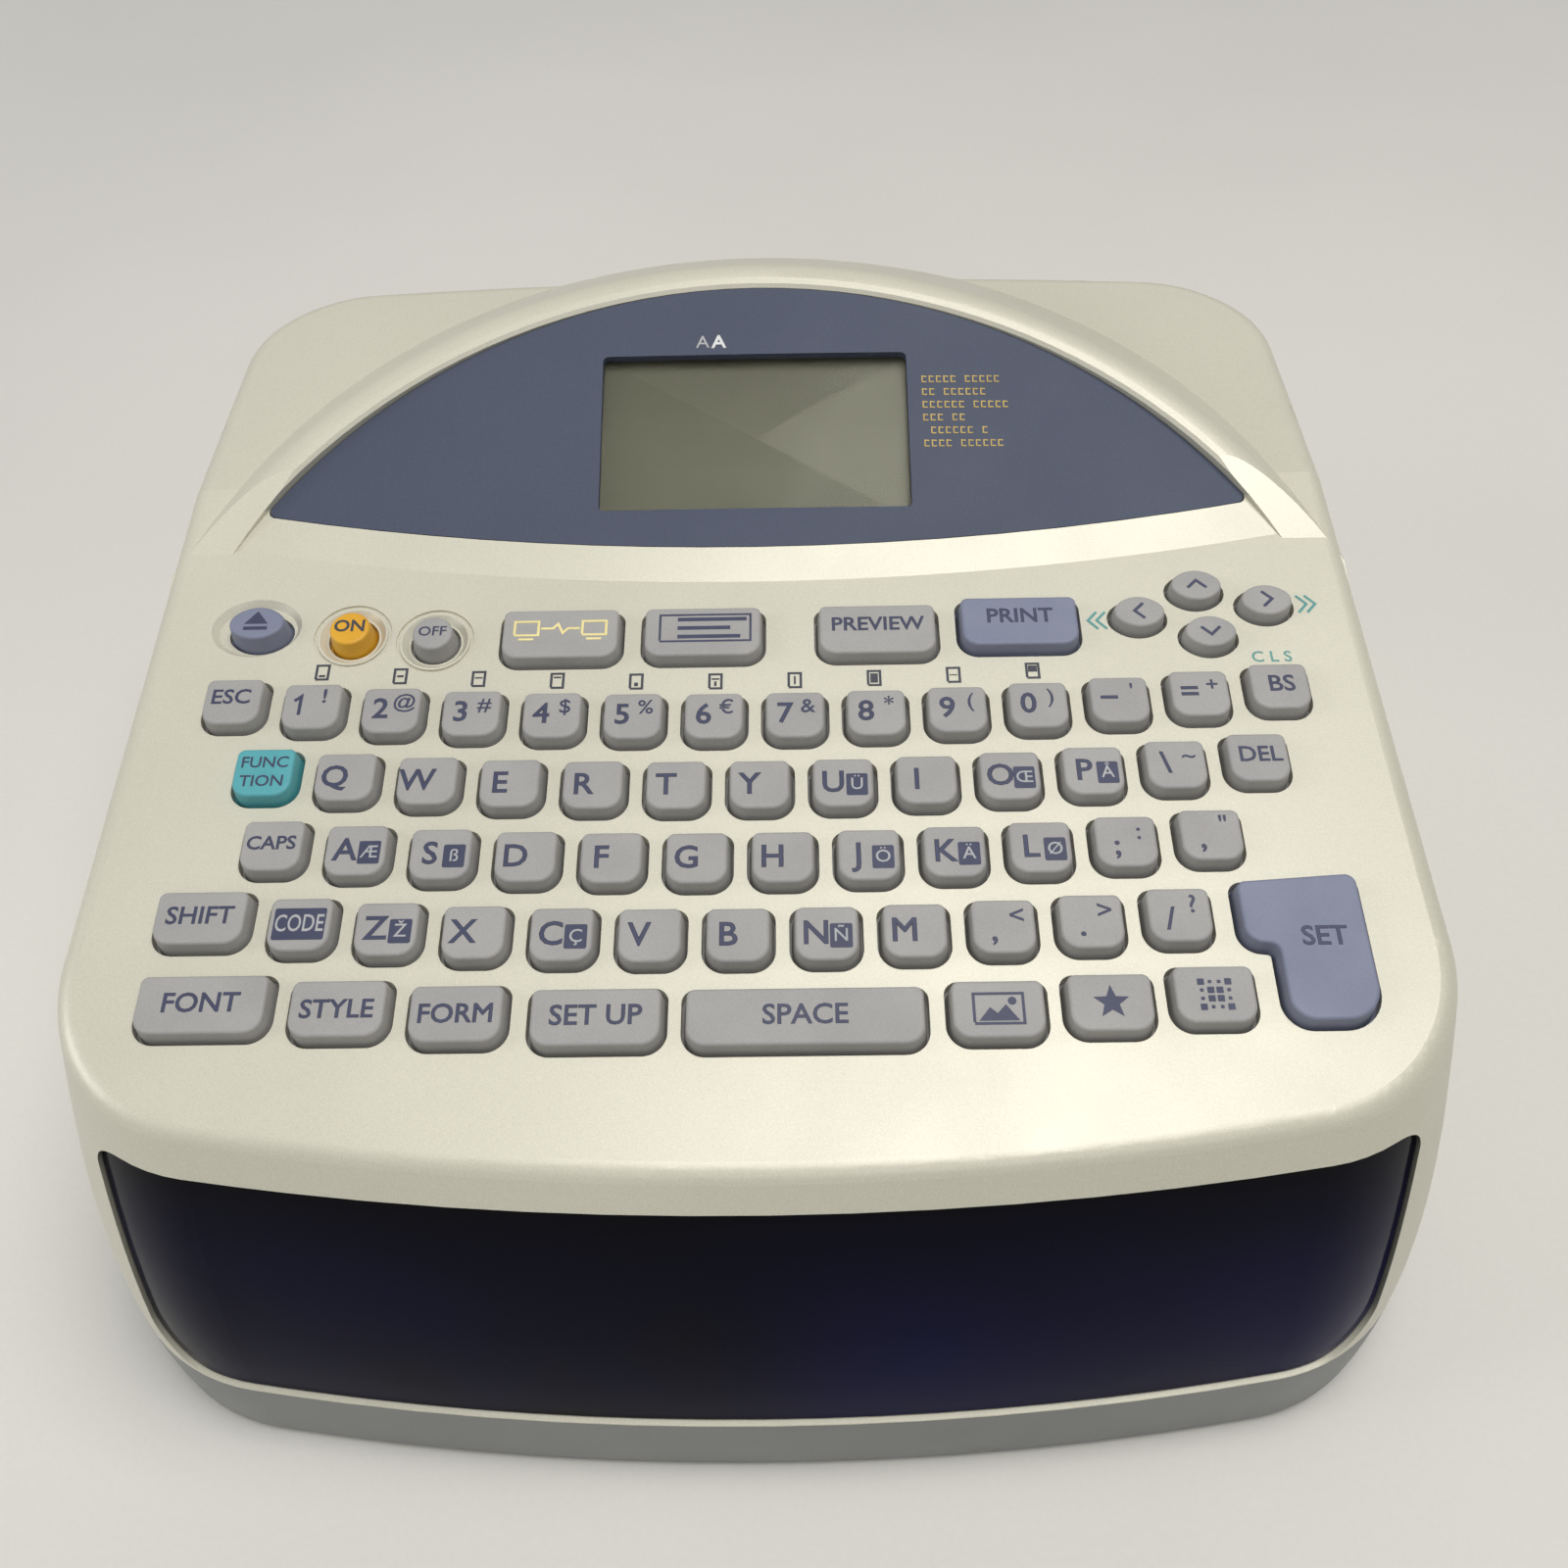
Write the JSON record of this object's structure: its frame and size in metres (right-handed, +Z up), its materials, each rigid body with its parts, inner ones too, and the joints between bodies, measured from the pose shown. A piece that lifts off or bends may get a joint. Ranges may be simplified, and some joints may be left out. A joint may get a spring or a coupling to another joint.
{
  "type": "disc label printer",
  "caption": "Desktop label printer for discs: sloped keyboard, display under a raised rim, tall dark front that slides out as a disc drawer, thermal print carriage inside.",
  "frame": {"origin": "on the table, under the middle of the case's outline", "axes": "+Z up, -Y towards the user and the disc drawer, +X to the right as the keyboard is read"},
  "size_m": [0.208, 0.202, 0.1077],
  "materials": {
    "casing": "pearl silver, satin",
    "panel": "slate blue, satin",
    "screen": "clear",
    "screen_module": "grey-olive liquid crystal",
    "grey_key": "soft touch",
    "blue_key": "soft touch",
    "amber_key": "soft touch",
    "teal_key": "soft touch",
    "window": "deep navy, polished",
    "tray": "fine texture",
    "white_plastic": "moulded",
    "black_plastic": "moulded",
    "rubber": "matt",
    "steel": "plated sheet",
    "shaft_steel": "ground",
    "screw_steel": "zinc plated",
    "board": "solder mask",
    "chip": "moulded"
  },
  "bodies": {
    "case": {"top_case": "casing", "bottom_case": "casing", "display_panel": "panel", "lcd_glass": "screen", "lcd_module": "screen_module", "keypad_sheet": "rubber", "key_board": "board", "drawer_rail_left": "white_plastic", "drawer_rail_right": "white_plastic", "chassis_frame": "steel", "guide_shaft_front": "shaft_steel", "guide_shaft_rear": "shaft_steel", "drive_belt": "rubber", "carriage_motor": "steel", "latch_pin": "shaft_steel", "latch_spring": "steel", "main_board": "board", "board_chips": "chip", "dc_jack": "black_plastic", "usb_port": "steel", "case_screws": "screw_steel", "board_screws": "screw_steel", "rubber_feet": "rubber"},
    "drawer": {"front_window": "window", "disc_tray": "tray", "disc_hub": "white_plastic", "disc_mat": "rubber", "tray_screws": "screw_steel"},
    "carriage": {"carriage": "black_plastic", "ribbon_cassette": "black_plastic"},
    "head": {"head_arm": "steel", "print_head": "black_plastic"},
    "supply": {"supply_spool": "white_plastic"},
    "takeup": {"takeup_spool": "white_plastic"},
    "drive": {"drive_pulley": "white_plastic", "drive_gear": "white_plastic"},
    "idler": {"idler_pulley": "white_plastic"},
    "pinion": {"motor_pinion": "steel"},
    "lever": {"latch_lever": "white_plastic"},
    "eject_key": {"eject_key": "blue_key"},
    "on_key": {"on_key": "amber_key"},
    "off_key": {"off_key": "grey_key"},
    "link_key": {"link_key": "grey_key"},
    "memory_key": {"memory_key": "grey_key"},
    "preview_key": {"preview_key": "grey_key"},
    "print_key": {"print_key": "blue_key"},
    "left_key": {"left_key": "grey_key"},
    "up_key": {"up_key": "grey_key"},
    "down_key": {"down_key": "grey_key"},
    "right_key": {"right_key": "grey_key"},
    "number_keys": {"number_keys": "grey_key"},
    "function_key": {"function_key": "teal_key"},
    "upper_letter_keys": {"upper_letter_keys": "grey_key"},
    "home_letter_keys": {"home_letter_keys": "grey_key"},
    "shift_key": {"shift_key": "grey_key"},
    "lower_letter_keys": {"lower_letter_keys": "grey_key"},
    "space_key": {"space_key": "grey_key"},
    "bottom_row_keys": {"bottom_row_keys": "grey_key"},
    "set_key": {"set_key": "blue_key"}
  },
  "joints": [
    {"name": "drawer_slide", "type": "slide", "parent": "case", "child": "drawer", "axis": [0, -1, 0], "range_m": [0, 0.112]},
    {"name": "carriage_slide", "type": "slide", "parent": "case", "child": "carriage", "axis": [1, 0, 0], "range_m": [-0.037, 0.037]},
    {"name": "head_lift", "type": "hinge", "parent": "carriage", "child": "head", "pos_m": [-0.0055, 0.002, 0.0385], "axis": [0, -1, 0], "range_deg": [0, 6], "stiffness_Nm_per_rad": 0.02, "springref_deg": -11.46},
    {"name": "supply_turn", "type": "hinge", "parent": "carriage", "child": "supply", "pos_m": [-0.017, 0.004, 0.041], "axis": [0, 1, 0], "continuous": true},
    {"name": "takeup_turn", "type": "hinge", "parent": "carriage", "child": "takeup", "pos_m": [0.017, 0.004, 0.041], "axis": [0, 1, 0], "continuous": true},
    {"name": "drive_turn", "type": "hinge", "parent": "case", "child": "drive", "pos_m": [-0.08, 0.046, 0.052], "axis": [0, 1, 0], "continuous": true},
    {"name": "idler_turn", "type": "hinge", "parent": "case", "child": "idler", "pos_m": [0.08, 0.046, 0.052], "axis": [0, 1, 0], "continuous": true},
    {"name": "pinion_turn", "type": "hinge", "parent": "case", "child": "pinion", "pos_m": [-0.08, 0.05, 0.0376], "axis": [0, 1, 0], "continuous": true},
    {"name": "lever_turn", "type": "hinge", "parent": "case", "child": "lever", "pos_m": [-0.088, 0.0101, 0.038], "axis": [0, 1, 0], "range_deg": [0, 11], "deforming": ["latch_spring"]},
    {"name": "eject_key_press", "type": "slide", "parent": "case", "child": "eject_key", "axis": [0, 0.1736, -0.9848], "range_m": [0, 0.0015], "stiffness_N_per_m": 250, "springref_m": -0.001},
    {"name": "on_key_press", "type": "slide", "parent": "case", "child": "on_key", "axis": [0, 0.1736, -0.9848], "range_m": [0, 0.0015], "stiffness_N_per_m": 250, "springref_m": -0.001},
    {"name": "off_key_press", "type": "slide", "parent": "case", "child": "off_key", "axis": [0, 0.1736, -0.9848], "range_m": [0, 0.0015], "stiffness_N_per_m": 250, "springref_m": -0.001},
    {"name": "link_key_press", "type": "slide", "parent": "case", "child": "link_key", "axis": [0, 0.1736, -0.9848], "range_m": [0, 0.0015], "stiffness_N_per_m": 250, "springref_m": -0.001},
    {"name": "memory_key_press", "type": "slide", "parent": "case", "child": "memory_key", "axis": [0, 0.1736, -0.9848], "range_m": [0, 0.0015], "stiffness_N_per_m": 250, "springref_m": -0.001},
    {"name": "preview_key_press", "type": "slide", "parent": "case", "child": "preview_key", "axis": [0, 0.1736, -0.9848], "range_m": [0, 0.0015], "stiffness_N_per_m": 250, "springref_m": -0.001},
    {"name": "print_key_press", "type": "slide", "parent": "case", "child": "print_key", "axis": [0, 0.1736, -0.9848], "range_m": [0, 0.0015], "stiffness_N_per_m": 250, "springref_m": -0.001},
    {"name": "left_key_press", "type": "slide", "parent": "case", "child": "left_key", "axis": [0, 0.1736, -0.9848], "range_m": [0, 0.0015], "stiffness_N_per_m": 250, "springref_m": -0.001},
    {"name": "up_key_press", "type": "slide", "parent": "case", "child": "up_key", "axis": [0, 0.1736, -0.9848], "range_m": [0, 0.0015], "stiffness_N_per_m": 250, "springref_m": -0.001},
    {"name": "down_key_press", "type": "slide", "parent": "case", "child": "down_key", "axis": [0, 0.1736, -0.9848], "range_m": [0, 0.0015], "stiffness_N_per_m": 250, "springref_m": -0.001},
    {"name": "right_key_press", "type": "slide", "parent": "case", "child": "right_key", "axis": [0, 0.1736, -0.9848], "range_m": [0, 0.0015], "stiffness_N_per_m": 250, "springref_m": -0.001},
    {"name": "number_keys_press", "type": "slide", "parent": "case", "child": "number_keys", "axis": [0, 0.1736, -0.9848], "range_m": [0, 0.0015], "stiffness_N_per_m": 600, "springref_m": -0.001},
    {"name": "function_key_press", "type": "slide", "parent": "case", "child": "function_key", "axis": [0, 0.1736, -0.9848], "range_m": [0, 0.0015], "stiffness_N_per_m": 250, "springref_m": -0.001},
    {"name": "upper_letter_keys_press", "type": "slide", "parent": "case", "child": "upper_letter_keys", "axis": [0, 0.1736, -0.9848], "range_m": [0, 0.0015], "stiffness_N_per_m": 600, "springref_m": -0.001},
    {"name": "home_letter_keys_press", "type": "slide", "parent": "case", "child": "home_letter_keys", "axis": [0, 0.1736, -0.9848], "range_m": [0, 0.0015], "stiffness_N_per_m": 600, "springref_m": -0.001},
    {"name": "shift_key_press", "type": "slide", "parent": "case", "child": "shift_key", "axis": [0, 0.1736, -0.9848], "range_m": [0, 0.0015], "stiffness_N_per_m": 250, "springref_m": -0.001},
    {"name": "lower_letter_keys_press", "type": "slide", "parent": "case", "child": "lower_letter_keys", "axis": [0, 0.1736, -0.9848], "range_m": [0, 0.0015], "stiffness_N_per_m": 600, "springref_m": -0.001},
    {"name": "space_key_press", "type": "slide", "parent": "case", "child": "space_key", "axis": [0, 0.1736, -0.9848], "range_m": [0, 0.0015], "stiffness_N_per_m": 250, "springref_m": -0.001},
    {"name": "bottom_row_keys_press", "type": "slide", "parent": "case", "child": "bottom_row_keys", "axis": [0, 0.1736, -0.9848], "range_m": [0, 0.0015], "stiffness_N_per_m": 600, "springref_m": -0.001},
    {"name": "set_key_press", "type": "slide", "parent": "case", "child": "set_key", "axis": [0, 0.1736, -0.9848], "range_m": [0, 0.0015], "stiffness_N_per_m": 250, "springref_m": -0.001}
  ],
  "couplings": [
    {"joint": "supply_turn", "follows": "carriage_slide", "rad_per_m": 188.68},
    {"joint": "takeup_turn", "follows": "carriage_slide", "rad_per_m": 212.77},
    {"joint": "drive_turn", "follows": "carriage_slide", "rad_per_m": 163.93},
    {"joint": "idler_turn", "follows": "carriage_slide", "rad_per_m": 163.93},
    {"joint": "pinion_turn", "follows": "carriage_slide", "rad_per_m": -491.8},
    {"joint": "lever_turn", "follows": "eject_key_press", "rad_per_m": 126.8}
  ]
}
